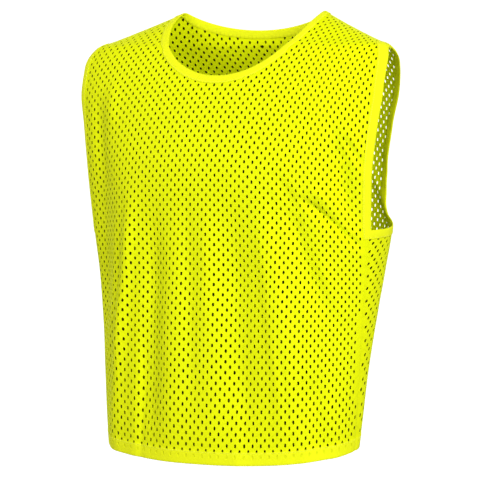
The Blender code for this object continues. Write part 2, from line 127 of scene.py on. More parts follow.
# Smaller creases that only the dressed cloth has, in the same columns
SMALL_FOLDS = {
    "front": (
        (0.160, -0.272, 0.264, -0.364, 0.0095, -0.0105),
        (0.176, -0.256, 0.246, -0.322, 0.0110, 0.0036),
        (0.212, -0.186, 0.240, -0.352, 0.0190, -0.0110),
        (0.222, -0.182, 0.266, -0.240, 0.0062, -0.0032),
        (0.188, -0.216, 0.236, -0.282, 0.0080, -0.0022),
        (0.196, -0.150, 0.232, -0.236, 0.0110, -0.0018),
        (0.118, -0.236, 0.172, -0.312, 0.0110, -0.0020),
        (-0.152, -0.255, -0.196, -0.600, 0.0105, -0.0068),
        (-0.130, -0.250, -0.176, -0.640, 0.0085, 0.0030),
        (-0.228, -0.110, -0.212, -0.290, 0.0140, -0.0046),
        (-0.196, -0.095, -0.190, -0.190, 0.0130, 0.0026),
        (-0.032, -0.240, -0.010, -0.640, 0.0130, -0.0022),
        (0.006, -0.270, 0.010, -0.520, 0.0120, 0.0016),
        (-0.168, -0.400, -0.184, -0.760, 0.0200, 0.0060),
        (-0.112, -0.440, -0.117, -0.760, 0.0080, -0.0030),
        (0.110, -0.250, 0.178, -0.560, 0.0085, -0.0026),
        (0.092, -0.270, 0.142, -0.620, 0.0120, 0.0024),
        (0.126, -0.450, 0.172, -0.760, 0.0080, -0.0022),
        (0.060, -0.540, 0.072, -0.760, 0.0130, 0.0020),
        (0.205, -0.560, 0.228, -0.740, 0.0120, 0.0026),
        (0.190, -0.360, 0.236, -0.480, 0.0120, 0.0024),
    ),
    "back": (
        (-0.160, -0.300, -0.232, -0.500, 0.0120, -0.0036),
        (-0.172, -0.236, -0.250, -0.320, 0.0100, -0.0052),
        (-0.062, -0.420, -0.080, -0.740, 0.0130, -0.0024),
        (0.006, -0.330, -0.004, -0.620, 0.0120, 0.0020),
        (0.066, -0.460, 0.072, -0.740, 0.0120, 0.0022),
        (0.135, -0.300, 0.182, -0.560, 0.0120, -0.0032),
        (0.182, -0.228, 0.262, -0.330, 0.0105, -0.0026),
        (0.196, -0.196, 0.252, -0.270, 0.0140, 0.0012),
        (0.200, -0.350, 0.250, -0.480, 0.0120, 0.0026),
        (-0.020, -0.110, 0.060, -0.200, 0.0160, -0.0016),
    ),
}

# The share of a fold over which its ends fade, and how near the side seams folds die away
FOLD_FADE = 0.35
FOLD_REST = math.radians(20)
SMALL_FOLD_REST = math.radians(7)

# The knit: its wall and its staggered holes
KNIT_WALL = 0.0008
HOLE_PITCH = 0.0144
HOLE_REPEAT = 0.0152
HOLE_HALF_WIDTH = 0.00175
HOLE_HALF_HEIGHT = 0.0031
# How far below the outside the holes' ends of painted shade sit
SHADE_PLUG_DEPTH = 0.0006
HOLE_CLEARANCE = 0.0042

# Holes are blind, closed a little below the outside by a dark end of painted shade that stands for the
# shaded inside seen through them, but for those this near the back edge of the armholes
OPEN_BESIDE_ARMHOLE = 0.066
OPEN_BELOW_ARMHOLE = 0.004
ARMHOLE_BACK_CORNER = -0.285

# How far apart the knit's rows lie up the cloth, as a share of the repeat. Columns: path, spacing
ROW_SPACING = (
    (-0.720, 1.13), (-0.580, 1.12), (-0.500, 1.03), (-0.440, 0.99), (-0.300, 0.98),
    (-0.210, 0.97), (-0.150, 0.94), (-0.080, 0.90), (0.240, 0.90),
)

# How far apart its columns lie round the cloth, as a share of the pitch. Columns: place, spacing
COLUMN_SPACING = {
    "front": ((-0.420, 1.0), (0.070, 1.0), (0.130, 0.90), (0.190, 0.78), (0.420, 0.78)),
    "back": ((-0.420, 1.0), (0.420, 1.0)),
}

# Its rows droop towards the sides at the chest, and lie level again lower down
ROW_DROOP = 0.33
DROOP_START = -0.190
DROOP_END = -0.500

# Making up
PANEL_TUCK = 0.0042
TURN_RADIUS = 0.0005
HEM_STEP = 0.0005
HEM_STEP_WIDTH = 0.0014
SEAM_CLEAR = 0.0052
SEAM_DIP = 0.0010
SEAM_DIP_WIDTH = 0.0026
SEAM_DIP_FADE = 0.01
SIDE_DIP_START = UNDERARM - 0.012
SIDE_DIP_RADIUS = 0.11
SHOULDER_DIP_END = -0.075
SHOULDER_DIP_RADIUS = 0.06
BINDING_FACE = 0.0014
STRIP_ROUND = 0.03
PANEL_SHARP_ANGLE = math.radians(50)
STRIP_SHARP_ANGLE = math.radians(55)

# Seam allowances: their ends, their reach either side of the seam, and how far out they lie
SIDE_LAP_ENDS = (UNDERARM - 0.014, HEM + 0.0015)
SIDE_LAP_FRONT = 0.0046
SIDE_LAP_BACK = 0.0105
SIDE_LAP_RADIUS = 0.115
SHOULDER_LAP_ENDS = (-0.0035, -0.0505)
SHOULDER_LAP = 0.0048
LAP_OUTER = -0.0011
LAP_INNER = -0.0020
LAP_HEM_ROOM = 0.0014
LAP_HEM_START = 0.002
SHOULDER_LAP_SHARE = 0.997

# Stitches, and where they run: a share of the binding's width, and a distance below the hem's top
STITCH_LENGTH = 0.0026
STITCH_PITCH = 0.0036
STITCH_HALF_WIDTH = 0.00026
STITCH_CROWN = 1.2
STITCH_ARCH = (-0.6, 0.6, -0.6)
BINDING_STITCH_SHARE = 0.84
HEM_STITCH_BELOW = 0.0022
HEM_RUN_REACH = 0.003
HEM_RUN_STEPS = 400
OUTWARD_PROBE = 0.001

# Colours, light and dark
LIGHT = (0.89, 0.975, 0.0)
DARK = (0.46, 0.56, 0.0)
# Painted shade: the near-black ends set in the holes stand for the shaded inside of the garment seen
# through them
HOLE_SHADE_LIGHT = (0.012, 0.014, 0.0)
HOLE_SHADE_DARK = (0.004, 0.005, 0.0)
# Painted shade: the olive ends set in the holes over the hem stand for the turned-up layer behind them
# in shade
HEM_HOLE_SHADE_LIGHT = (0.18, 0.22, 0.0)
HEM_HOLE_SHADE_DARK = (0.12, 0.16, 0.0)
BINDING_LIGHT = (0.95, 1.0, 0.010)
BINDING_DARK = (0.45, 0.50, 0.0)
THREAD_COLOUR = (0.94, 1.0, 0.06)
# How far the doubled hem is drawn towards the binding's lighter colour: painted light for the second
# layer behind it
HEM_PAINTED_LIGHT = 0.8
CLOTH_SPECULAR = 0.05

# How finely the cloth is knitted, and the sizes of its uneven patches and grain
WALE_PITCH = 0.0012
COURSE_PITCH = 0.0014
PATCH_SCALE = 14.0
BINDING_PATCH_SCALE = 60.0
GRAIN_SCALE = 900.0
TWIST_SCALE = 2600.0

# The faint marks of holes under the folded binding, darkened as painted shade in them: rows apart in
# metres, sizes as shares of a pitch
MARK_ROW_PITCH = 0.0078
MARK_HALF_WIDTH = 0.17
MARK_HALF_HEIGHT = 0.24

# The slanting lines between the holes: half width and phase as shares of a repeat, and how fast one
# lean gives way to the other across the panel's centre, as a share for each metre
LINE_WIDTH = 0.085
LINE_PHASE = 0.125
LINE_CHANGE = 12.0

# The stage: a floor as far down as a wearer's feet, and its wall
FLOOR_HEIGHT = -1.42
BACKDROP_RADIUS = 12.0
BACKDROP_BEND = 3.0
BACKDROP_TOP = 9.0
BACKDROP_SIDES = 64
BACKDROP_BEND_STEPS = 16

# Lights: name, place, size and power. All aim at one point, and the camera at another
LIGHTS = (
    ("key", (3.6, -2.5, 1.1), 2.0, 163.0),
    ("fill", (-1.8, -3.6, 1.6), 2.8, 73.0),
    ("back", (-2.4, 3.6, 1.4), 2.6, 100.0),
)
LIGHT_AIM = (0.0, 0.0, -0.35)
WORLD_LIGHT = 0.28
CAMERA_PLACE = (2.887, -4.445, -0.127)
CAMERA_AIM = (-0.0187, -0.0122, -0.350)
CAMERA_LENS = 258.4

# The tables of the flat panels, and how finely their edges are stepped
FLAT_REACH = 0.42
FLAT_STEP = 0.002
PATH_START = -0.150
KNIT_PATHS = np.arange(ROW_SPACING[0][0], ROW_SPACING[-1][0], FLAT_STEP)
EDGE_STEPS = 110
SHOULDER_STEPS = 60
SIDE_STEPS = 120
TURN_STEPS = 6
HEM_STEPS = 60

# Room between the points that a flat panel's triangles are made from
EDGE_INSET = 0.0016
KNOT_CLEARANCE = 0.0024
HOLE_FOLD_GAP = 0.0016
HOLE_MARGIN = 1.3
HEM_POINT_PITCH = 0.0042
HEM_END_GAP = 0.0010
HEM_LINE_GAP = 0.0007
HEM_EDGE_REACH = 0.004
HEM_HOLE_HALF_HEIGHT = ROW_SPACING[0][1] * HOLE_HALF_HEIGHT
SIDE_EDGE_TOP = 0.35
SIDE_EDGE_PLACE = 0.15

# In the maps, a hole's walls and its end of painted shade are drawn in, and the cloth's rims pushed out
HOLE_DRAWN_IN = 0.5
RIM_PUSHED_OUT = 1.004
BAKE_MARGIN = 0.006
BAKE_GAP = 0.002


def curve_through(known_x, known_y, wanted):
    """A smooth curve through a table's rows that never overshoots them."""
    x = np.asarray(known_x, float)
    y = np.asarray(known_y, float)
    step = np.diff(x)
    rise = np.diff(y) / step
    slope = np.zeros(len(x))
    slope[0] = rise[0]
    slope[-1] = rise[-1]
    for i in range(1, len(x) - 1):
        if rise[i - 1] * rise[i] > 0:
            before = 2 * step[i] + step[i - 1]
            after = step[i] + 2 * step[i - 1]
            slope[i] = (before + after) / (before / rise[i - 1] + after / rise[i])
    place = np.clip(wanted, x[0], x[-1])
    i = np.clip(np.searchsorted(x, place) - 1, 0, len(x) - 2)
    t = (place - x[i]) / step[i]
    value = (2 * t**3 - 3 * t**2 + 1) * y[i] + (3 * t**2 - 2 * t**3) * y[i + 1]
    return value + step[i] * ((t**3 - 2 * t**2 + t) * slope[i] + (t**3 - t**2) * slope[i + 1])


def smooth_step(t):
    """From 0 to 1 with level ends."""
    t = np.clip(t, 0.0, 1.0)
    return t * t * (3 - 2 * t)


def unit(vectors):
    """The same directions, each of length 1."""
    return vectors / np.linalg.norm(vectors, axis=-1, keepdims=True)


def section(height):
    """Half width, middle, front, back, front square and back square of the level section."""
    rows = np.array(SECTIONS)[::-1]
    return [curve_through(rows[:, 0], rows[:, k], height) for k in range(1, rows.shape[1])]


def hem_rise(angle, height):
    """How far the cloth rides up at the sides and the back on its way down to the hem."""
    forward = np.cos(angle)
    side = HEM_RISE_SIDE * (1 - forward)
    behind = HEM_RISE_SIDE - (HEM_RISE_BACK - HEM_RISE_SIDE) * forward
    share = smooth_step((HANG_START - height) / (HANG_START - HEM))
    return np.where(forward > 0, side, behind) * share


def form(angle, height):
    """The worn form without folds, at an angle round from the centre front."""
    half_width, middle, front, back, front_square, back_square = section(height)
    sideways = np.sin(angle)
    forward = np.cos(angle)
    power = 2 / np.where(forward > 0, front_square, back_square)
    depth = np.where(forward > 0, front, back)
    x = half_width * np.sign(sideways) * np.abs(sideways) ** power
    y = middle - depth * np.sign(forward) * np.abs(forward) ** power
    return np.stack([x, y, height + hem_rise(angle, height)], -1)


def angle_of(point):
    """The angle whose point on the level section lies in a given point's direction."""
    half_width, middle, front, back, front_square, back_square = section(point[..., 2])
    ahead = middle - point[..., 1]
    power = np.where(ahead > 0, front_square, back_square) / 2
    depth = np.where(ahead > 0, front, back)
    sideways = np.sign(point[..., 0]) * (np.abs(point[..., 0]) / half_width) ** power
    forward = np.sign(ahead) * (np.abs(ahead) / depth) ** power
    return np.arctan2(sideways, forward)


def outward(angle, height):
    """Unit normals of the form, pointing out of the garment."""
    turn = 0.004
    lift = 0.0008
    top = np.minimum(height + lift, FORM_TOP)
    round_it = form(angle + turn, height) - form(angle - turn, height)
    up_it = form(angle, top) - form(angle, height - lift)
    return unit(np.cross(round_it, up_it))


# Distances round the form from the centre front, and the angles at even distances
HEIGHTS = np.linspace(HEM, 0.0, 342)
ANGLES = np.linspace(0.0, math.pi, 721)
ring_points = form(ANGLES[None, :], HEIGHTS[:, None])
ring_steps = np.linalg.norm(np.diff(ring_points, axis=1), axis=-1)
LENGTHS = np.concatenate([np.zeros((len(HEIGHTS), 1)), np.cumsum(ring_steps, axis=1)], axis=1)
HALF_GIRTHS = LENGTHS[:, -1]
DISTANCES = np.arange(0.0, HALF_GIRTHS.max() + 0.001, 0.001)
ANGLE_TABLE = np.array([np.interp(DISTANCES, row, ANGLES) for row in LENGTHS])


def looked_up(table, row, column):
    """Bilinear values of a table at fractional rows and columns."""
    row = np.clip(row, 0, table.shape[0] - 1.000001)
    column = np.clip(column, 0, table.shape[1] - 1.000001)
    r = row.astype(int)
    c = column.astype(int)
    dr = row - r
    dc = column - c
    low = table[r, c] * (1 - dc) + table[r, c + 1] * dc
    high = table[r + 1, c] * (1 - dc) + table[r + 1, c + 1] * dc
    return low * (1 - dr) + high * dr


def height_row(height):
    """The fractional row of a height in the tables of distances and angles."""
    return (height - HEM) / (HEIGHTS[1] - HEIGHTS[0])


def across(angle, height, panel):
    """The way round the cloth from the panel's centre line, to the wearer's left."""
    angle, height = np.broadcast_arrays(angle, height)
    column = np.abs(angle) / ANGLES[1]
    length = looked_up(LENGTHS, height_row(height), column)
    if panel == "back":
        length = np.interp(height, HEIGHTS, HALF_GIRTHS) - length
    return np.sign(angle) * length


def angle_at(place, height, panel):
    """The angle at a distance round from the panel's centre line."""
    length = np.abs(place)
    if panel == "back":
        length = np.interp(height, HEIGHTS, HALF_GIRTHS) - length
    turned = looked_up(ANGLE_TABLE, height_row(height), length / DISTANCES[1])
    return np.where(place < 0, -turned, turned)


def seam_line(height):
    """The angle of the line between front and back: the armhole's front edge, then the side seam."""
    rows = np.array(ARMHOLE)[::-1]
    edge = curve_through(rows[:, 0], rows[:, 1], height)
    down = np.clip((UNDERARM - height) / (UNDERARM - HEM), 0, 1)
    return np.radians(edge + (SEAM_DEGREES_AT_HEM - edge) * down)


def folds_at(folds, place, height):
    """The lift of a table of folds at places on a panel."""
    lift = np.zeros(place.shape)
    for across_top, height_top, across_bottom, height_bottom, width, depth in folds:
        along = (height_top - height) / (height_top - height_bottom)
        line = across_top + (across_bottom - across_top) * along
        ends = smooth_step(along / FOLD_FADE) * smooth_step((1 - along) / FOLD_FADE)
        lift += depth * ends * np.exp(-(((place - line) / width) ** 2))
    return lift


def fold_lift(angle, height):
    """How far the folds move the cloth out of the plain form; they die away at the side seams."""
    angle, height = np.broadcast_arrays(angle, height)
    beside_seam = np.abs(angle) - seam_line(height)
    total = np.zeros(angle.shape)
    for panel in ("front", "back"):
        place = across(angle, height, panel)
        lift = folds_at(LARGE_FOLDS[panel], place, height)
        lift = lift * smooth_step(np.abs(beside_seam) / FOLD_REST)
        small = folds_at(SMALL_FOLDS[panel], place, height)
        lift = lift + small * smooth_step(np.abs(beside_seam) / SMALL_FOLD_REST)
        total = np.where((beside_seam < 0) == (panel == "front"), lift, total)
    return total


def cloth(angle, height, out=0.0):
    """The worn cloth, moved out along the form's normals by its folds and by a given amount."""
    lift = fold_lift(angle, height) + out
    return form(angle, height) + outward(angle, height) * lift[..., None]


def neck_edge(turn):
    """Angle and height of the finished neck edge; turn runs round from the centre front."""
    forward = np.cos(turn)
    front = forward > 0
    drop = np.where(front, NECK_DROP_FRONT, NECK_DROP_BACK)
    shape = np.where(front, NECK_CURVE_FRONT, NECK_CURVE_BACK)
    height = -drop * np.abs(forward) ** shape
    half_width, _, _, _, front_square, back_square = section(height)
    square = np.where(front, front_square, back_square)
    reach = np.clip(NECK_HALF_WIDTH * np.abs(np.sin(turn)) / half_width, 0, 1)
    angle = np.arcsin(reach ** (square / 2))
    angle = np.where(front, angle, math.pi - angle)
    return np.where(np.sin(turn) < 0, -angle, angle), height


def armhole_edge():
    """Angle and height of the left armhole's finished edge: down its front, then up its back."""
    rows = np.array(ARMHOLE)[::-1]
    down = np.linspace(0.0, 1.0, 200) ** TIP_CLOSENESS
    height = SHOULDER_TIP + (UNDERARM - SHOULDER_TIP) * down
    front = np.radians(curve_through(rows[:, 0], rows[:, 1], height))
    back = np.radians(curve_through(rows[:, 0], rows[:, 2], height))
    angle = np.concatenate([front, back[::-1][1:-1]])
    return angle, np.concatenate([height, height[::-1][1:-1]])


def evenly(angle, height, count, keep):
    """A closed loop's points, set evenly along it, with the one at index keep left in place."""
    angle = np.roll(angle, -keep)
    height = np.roll(height, -keep)
    angle = np.append(angle, angle[0])
    height = np.append(height, height[0])
    steps = np.linalg.norm(np.diff(form(angle, height), axis=0), axis=1)
    run = np.append(0.0, np.cumsum(steps))
    wanted = np.linspace(0.0, run[-1], count + 1)[:-1]
    return np.interp(wanted, run, angle), np.interp(wanted, run, height)


def widened(angle, height, width):
    """The same closed loop moved over the form by a width, away from its opening."""
    points = form(angle, height)
    normals = outward(angle, height)
    ahead = unit(np.roll(points, -1, axis=0) - points)
    side_ahead = unit(np.cross(ahead, normals))
    side_behind = unit(np.cross(np.roll(ahead, 1, axis=0), normals))
    mitre = unit(side_ahead + side_behind)
    reach = width / np.einsum("ij,ij->i", mitre, side_ahead)
    away = np.sign(np.einsum("ij,ij->i", mitre, points - points.mean(axis=0)).mean())
    moved = points + away * mitre * reach[:, None]
    return angle_of(moved), moved[:, 2]


def neck_loop(width):
    """The neck edge moved out by a width, from the centre front round by the wearer's left."""
    turn = np.linspace(0.0, 2 * math.pi, 4 * LOOP_STEPS + 1)[:-1]
    return widened(*evenly(*neck_edge(turn), LOOP_STEPS, 0), width)


def armhole_loop(width):
    """The left armhole's edge moved out by a width: from its corner up the back, down the front."""
    angle, height = armhole_edge()
    return widened(*evenly(angle, height, LOOP_STEPS, int(np.argmin(height))), width)


def knit_run(rows, positions):
    """The knit's own coordinate at positions along the cloth, from a table of its spacing."""
    spacing = np.interp(positions, *np.array(rows).T)
    steps = np.diff(positions) * 2 / (spacing[1:] + spacing[:-1])
    run = np.append(0.0, np.cumsum(steps))
    return run - np.interp(0.0, positions, run)


def row_droop(place, path):
    """How far the rows hang below level at places on a panel."""
    return ROW_DROOP * place**2 * smooth_step((path - DROOP_END) / (DROOP_START - DROOP_END))


class Flat:
    """A panel laid flat: place is the way round from its centre line, path the way up the cloth."""

    def __init__(self, panel):
        self.panel = panel
        self.places = np.arange(-FLAT_REACH, FLAT_REACH + FLAT_STEP / 2, FLAT_STEP)
        low = HEIGHTS[HEIGHTS <= PATH_START]
        low_path = low - low[-1] + PATH_START
        high = HEIGHTS[len(low) - 1 :]
        grid_place, grid_height = np.meshgrid(self.places, high, indexing="ij")
        points = form(angle_at(grid_place, grid_height, panel), grid_height)
        climb = np.linalg.norm(np.diff(points, axis=1), axis=-1)
        climb = np.concatenate([np.zeros((len(self.places), 1)), np.cumsum(climb, axis=1)], axis=1)
        low_part = np.repeat(low_path[None, :-1], len(self.places), axis=0)
        self.path_table = np.concatenate([low_part, PATH_START + climb], axis=1)
        self.hem_path = float(low_path[0])
        self.paths = np.arange(self.hem_path, self.path_table.max(), FLAT_STEP)
        rows = [np.interp(self.paths, row, HEIGHTS) for row in self.path_table]
        self.height_table = np.array(rows)
        self.knit_places = knit_run(COLUMN_SPACING[panel], self.places)
        self.knit_rows = knit_run(ROW_SPACING, KNIT_PATHS)

    def knit(self, points):
        """The knit's own coordinates at flat points, in which its columns and rows are even."""
        place = points[..., 0]
        path = points[..., 1]
        column = np.interp(place, self.places, self.knit_places)
        row = np.interp(path + row_droop(place, path), KNIT_PATHS, self.knit_rows)
        return np.stack([column, row], -1)

    def from_knit(self, points):
        """The flat points at the knit's own coordinates."""
        place = np.interp(points[..., 0], self.knit_places, self.places)
        level = np.interp(points[..., 1], self.knit_rows, KNIT_PATHS)
        path = level
        for _ in range(6):
            path = level - row_droop(place, path)
        return np.stack([place, path], -1)

    def place_row(self, place):
        """The fractional row of a place in the panel's tables."""
        return (place + FLAT_REACH) / FLAT_STEP

    def lay(self, angle, height):
        """Place and path of points given by angle and height."""
        place = across(angle, height, self.panel)
        return place, looked_up(self.path_table, self.place_row(place), height_row(height))

    def lift_off(self, place, path):
        """Angle and height of points given by place and path."""
        column = (path - self.hem_path) / FLAT_STEP
        height = looked_up(self.height_table, self.place_row(place), column)
        return angle_at(place, height, self.panel), height

    def worn(self, place, path, out=0.0):
        """Where points of the flat panel lie when worn; below the hem the cloth is turned up inside."""
        past = self.hem_path - path
        bend = np.clip(past / TURN_RADIUS, 0.0, math.pi)
        turned = past > 0
        up_inside = np.maximum(past - math.pi * TURN_RADIUS, 0.0)
        seen_path = np.where(turned, self.hem_path + up_inside, path)
        inside = np.where(turned, TURN_RADIUS * (1 - np.cos(bend)), 0.0)
        angle, height = self.lift_off(place, seen_path)
        side = np.where(bend > math.pi / 2, -1.0, 1.0)
        above_hem = (path - self.hem_path - HEM_DEPTH) / HEM_STEP_WIDTH
        step = HEM_STEP * (1 - smooth_step(above_hem))
        points = cloth(angle, height, out * side - inside + step + self.seam_dip(angle, height))
        points[..., 2] -= np.where(turned, TURN_RADIUS * np.sin(bend), 0.0)
        return points

    def seam_dip(self, angle, height):
        """The small hollow that a seam pulls along the side of the garment."""
        from_seam = np.abs(np.abs(angle) - seam_line(height)) * SIDE_DIP_RADIUS
        below = smooth_step((SIDE_DIP_START - height) / SEAM_DIP_FADE)
        from_ridge = np.abs(np.abs(angle) - math.pi / 2) * SHOULDER_DIP_RADIUS
        above = smooth_step((height - SHOULDER_DIP_END) / SEAM_DIP_FADE)
        dips = below * np.exp(-((from_seam / SEAM_DIP_WIDTH) ** 2))
        return -SEAM_DIP * (dips + above * np.exp(-((from_ridge / SEAM_DIP_WIDTH) ** 2)))


def crossing(values, level):
    """The fractional index where a run of values first passes a level."""
    above = values > level
    index = int(np.argmax(above != above[0]))
    before, after = values[index - 1], values[index]
    return index - 1 + (level - before) / (after - before)


def sampled(values, indices):
    """Values of a run at fractional indices."""
    return np.interp(indices, np.arange(len(values)), values)


def half_outline(flat):
    """Place and path of half a panel's cut edge, from its top centre round to its hem centre."""
    front = flat.panel == "front"
    width = BINDING_WIDTH - PANEL_TUCK
    neck_angle, neck_height = neck_loop(width)
    arm_angle, arm_height = (np.append(run, run[0]) for run in armhole_loop(width))
    half = LOOP_STEPS // 2
    ridge = crossing(np.abs(neck_angle[: half + 1]), math.pi / 2)
    tip = CORNER_STEPS + crossing(arm_angle[CORNER_STEPS:], math.pi / 2)
    steps = np.linspace(0.0, 1.0, EDGE_STEPS + 1)
    neck_index = ridge * steps if front else half + (ridge - half) * steps
    arm_index = tip + (LOOP_STEPS - tip) * steps if front else tip * (1 - steps)
    ridge_height = np.interp(ridge, np.arange(LOOP_STEPS), neck_height)
    tip_height = float(sampled(arm_height, tip))
    shoulder = np.linspace(ridge_height, tip_height, SHOULDER_STEPS)[1:-1]
    side = np.linspace(arm_height[0], HEM, SIDE_STEPS)[1:]
    side_angle = arm_angle[0] + (math.radians(SEAM_DEGREES_AT_HEM) - arm_angle[0]) * (
        (arm_height[0] - side) / (arm_height[0] - HEM)
    )
    angle = [np.abs(sampled(neck_angle, neck_index)), np.full(len(shoulder), math.pi / 2)]
    angle += [sampled(arm_angle, arm_index), side_angle]
    height = [sampled(neck_height, neck_index), shoulder, sampled(arm_height, arm_index), side]
    place, path = flat.lay(np.concatenate(angle), np.concatenate(height))
    turned = HEM_DEPTH + math.pi * TURN_RADIUS
    up_side = np.linspace(0.0, turned, TURN_STEPS)[1:]
    rising = slice(None, -len(side) - 1, -1)
    mirrored = np.interp(flat.hem_path + up_side, path[rising], place[rising])
    along_hem = np.linspace(mirrored[-1], 0.0, HEM_STEPS)[1:]
    turned_path = np.full(len(along_hem), flat.hem_path - turned)
    place = np.concatenate([place, mirrored, along_hem])
    path = np.concatenate([path, flat.hem_path - up_side, turned_path])
    place[0] = 0.0
    return np.stack([place, path], -1)


def whole_outline(flat):
    """Place and path of a panel's whole cut edge."""
    half = half_outline(flat)
    mirrored = half[1:-1][::-1] * (-1, 1)
    return np.concatenate([half, mirrored])


def inside(points, outline):
    """Whether each point lies inside a closed outline."""
    result = np.zeros(len(points), bool)
    a = outline
    b = np.roll(outline, -1, axis=0)
    for (ax, ay), (bx, by) in zip(a, b):
        if ay != by:
            spans = (ay > points[:, 1]) != (by > points[:, 1])
            result ^= spans & (points[:, 0] < ax + (bx - ax) * (points[:, 1] - ay) / (by - ay))
    return result


def clear_of(points, outline):
    """Each point's distance from a closed outline."""
    best = np.full(len(points), 1.0)
    b = np.roll(outline, -1, axis=0)
    for start, end in zip(outline, b):
        along = end - start
        size = along @ along
        if size > 0:
            t = np.clip((points - start) @ along / size, 0, 1)
            best = np.minimum(best, np.linalg.norm(points - start - t[:, None] * along, axis=1))
    return best


def lattice(offsets, outline):
    """Knit coordinates at given shares of every repeat of the knit, over the outline's box."""
    low = outline.min(axis=0) - 0.03
    high = outline.max(axis=0) + 0.03
    columns = np.arange(math.floor(low[0] / HOLE_PITCH) - 1, math.ceil(high[0] / HOLE_PITCH) + 1)
    rows = np.arange(math.floor(low[1] / HOLE_REPEAT) - 1, math.ceil(high[1] / HOLE_REPEAT) + 1)
    points = [
        ((column + across_share) * HOLE_PITCH, (row + up_share) * HOLE_REPEAT)
        for across_share, up_share in offsets
        for row in rows
        for column in columns
    ]
    return np.array(points)


# An eyelet's corners, as shares of its half width and half height
EYELET = np.array(((0.0, 1.0), (-1.0, 0.5), (-1.0, -0.5), (0.0, -1.0), (1.0, -0.5), (1.0, 0.5)))

# Where the holes, and the points between them, lie in one repeat of the knit
HOLES_IN_REPEAT = ((0.0, 0.0), (0.5, 0.5))
KNOTS_IN_REPEAT = (
    (0.5, 0.0), (0.0, 0.5), (0.25, 0.25), (0.75, 0.25), (0.25, 0.75), (0.75, 0.75),
    (0.25, 0.0), (0.75, 0.0), (0.25, 0.5), (0.75, 0.5),
)


def fold_path(flat):
    """The path at which the hem turns up."""
    return flat.hem_path - math.pi / 2 * TURN_RADIUS


def holes_of(flat, outline):
    """A panel's holes, clear of its edges, seams and fold: in knit coordinates and laid flat."""
    centres = lattice(HOLES_IN_REPEAT, flat.knit(outline))
    holes = flat.from_knit(centres)
    off_side = np.interp(holes[:, 1], *side_of(outline, flat)) - np.abs(holes[:, 0])
    beside_seam = (holes[:, 1] < flat.hem_path + SIDE_EDGE_TOP) & (off_side < SEAM_CLEAR)
    kept = inside(holes, outline) & (clear_of(holes, outline) > HOLE_CLEARANCE) & ~beside_seam
    kept &= np.abs(holes[:, 1] - fold_path(flat)) > HEM_HOLE_HALF_HEIGHT + HOLE_FOLD_GAP
    return centres[kept], holes[kept]


def hem_lines(flat, outline, holes):
    """Rows of points round the hem's turn and over its top edge, where the cloth bends most."""
    rows = []
    for quarter in range(5):
        path = flat.hem_path - quarter * math.pi / 4 * TURN_RADIUS
        beside = np.abs(outline[:, 1] - path) < HEM_EDGE_REACH
        reach = np.abs(outline[:, 0][beside]).max() - HEM_END_GAP
        count = 2 * int(reach / HEM_POINT_PITCH) + 1
        rows.append(np.stack([np.linspace(-reach, reach, count), np.full(count, path)], -1))
    for above in (0.0, HEM_LINE_GAP, HEM_STEP_WIDTH):
        row = rows[0] + (0.0, HEM_DEPTH + above)
        off = np.abs(row[:, None, :] - holes[None, :, :]) / (HOLE_HALF_WIDTH, HEM_HOLE_HALF_HEIGHT)
        rows.append(row[off.max(axis=2).min(axis=1) > HOLE_MARGIN])
    return rows


def pierced(flat):
    """A flat panel's points and triangles, its holes' own triangles (which become their ends of painted
    shade), each point's hole, the holes.
    """
    outline = whole_outline(flat)
    centres, holes = holes_of(flat, outline)
    rings = flat.from_knit(centres[:, None, :] + EYELET * (HOLE_HALF_WIDTH, HOLE_HALF_HEIGHT))
    sides = len(EYELET)
    knots = flat.from_knit(lattice(KNOTS_IN_REPEAT, flat.knit(outline)))
    knots = knots[inside(knots, outline)]
    knots = knots[clear_of(knots, outline) > KNOT_CLEARANCE]
    knots = knots[np.abs(knots[:, 1] - fold_path(flat)) > KNOT_CLEARANCE]
    inset = inner_rows(outline, EDGE_INSET)
    points = [outline, rings.reshape(-1, 2), knots, inset, *hem_lines(flat, outline, holes)]
    points = np.concatenate(points)
    count = len(outline)
    edges = [(i, (i + 1) % count) for i in range(count)]
    for h in range(len(holes)):
        first = count + h * sides
        edges += [(first + i, first + (i + 1) % sides) for i in range(sides)]
    made = delaunay_2d_cdt([Vector(p) for p in points], edges, [], 0, 1e-6, True)
    flat_points = np.array([tuple(p) for p in made[0]])
    triangles = np.array(made[2])
    owner = np.full(len(flat_points), -1)
    for index, sources in enumerate(made[3]):
        for source in sources:
            if count <= source < count + len(holes) * sides:
                owner[index] = (source - count) // sides
    corner = owner[triangles]
    in_hole = (corner[:, 0] >= 0) & (corner[:, 0] == corner[:, 1]) & (corner[:, 1] == corner[:, 2])
    keep = ~in_hole & inside(flat_points[triangles].mean(axis=1), outline)
    return flat_points, triangles[keep], triangles[in_hole], owner, holes


def side_of(outline, flat):
    """The path and place of a panel's side edge from its hem up, rising."""
    half = outline[: len(outline) // 2 + 1]
    side = half[(half[:, 1] < flat.hem_path + SIDE_EDGE_TOP) & (half[:, 0] > SIDE_EDGE_PLACE)]
    side = side[np.argsort(side[:, 1])]
    return side[:, 1], side[:, 0]


def inner_rows(outline, distance):
    """Points set in from an outline, so that the cloth beside its edges has even faces."""
    before = np.roll(outline, 1, axis=0)
    after = np.roll(outline, -1, axis=0)
    along = after - before
    size = np.linalg.norm(along, axis=1, keepdims=True)
    normal = np.stack([along[:, 1], -along[:, 0]], -1) / np.maximum(size, 1e-9)
    points = outline + normal * distance
    if inside(points, outline).mean() < 0.5:
        points = outline - normal * distance
    points = points[inside(points, outline)]
    return points[clear_of(points, outline) > distance * 0.8]


def normals_of(points, triangles):
    """Unit normals of a triangle mesh's points."""
    a, b, c = (points[triangles[:, k]] for k in range(3))
    face = np.cross(b - a, c - a)
    normal = np.zeros(points.shape)
    for k in range(3):
        np.add.at(normal, triangles[:, k], face)
    return normal / np.maximum(np.linalg.norm(normal, axis=1, keepdims=True), 1e-12)


